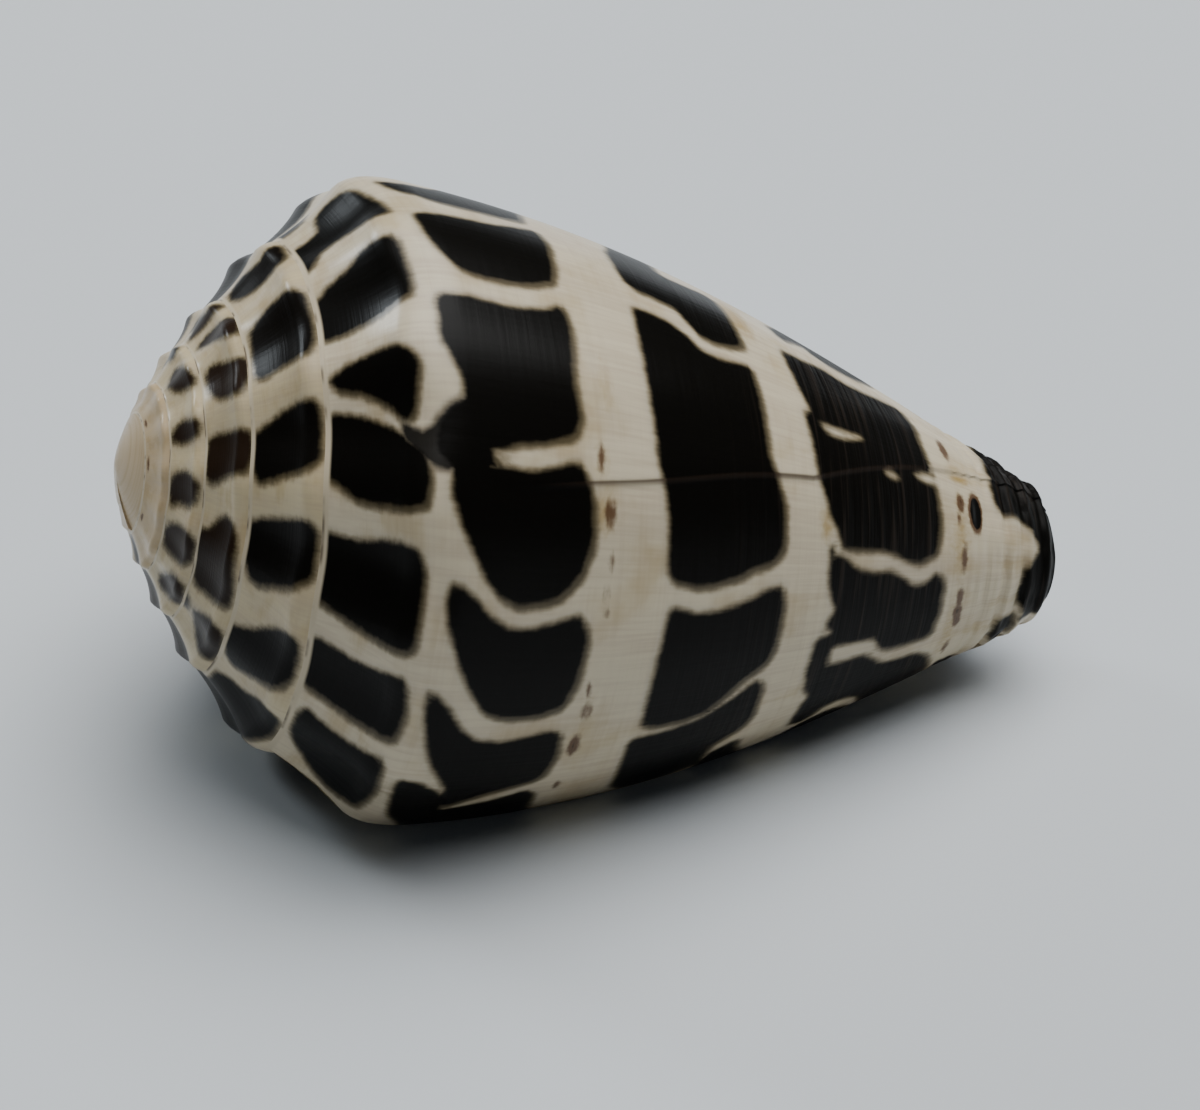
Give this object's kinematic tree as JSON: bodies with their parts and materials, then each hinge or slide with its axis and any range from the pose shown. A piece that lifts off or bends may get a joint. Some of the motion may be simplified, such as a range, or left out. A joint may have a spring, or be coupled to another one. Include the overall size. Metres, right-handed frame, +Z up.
{
  "type": "cone shell",
  "caption": "Cone-shaped sea snail shell lying on its opening, with a low knobbed spire, a long tapering side and a narrow winding slot under a thin lip.",
  "frame": {"origin": "middle of the bounding box at floor level, where the shell lies on its opening", "axes": "+Z up, +X from the apex towards the base end, -Y towards the back of the shell that faces the viewer"},
  "size_m": [0.0404, 0.0264, 0.0247],
  "materials": {
    "shell": "satin gloss natural shell, pinkish white with near-black blocks"
  },
  "bodies": {
    "root": {"cone_shell": "shell"}
  },
  "joints": []
}
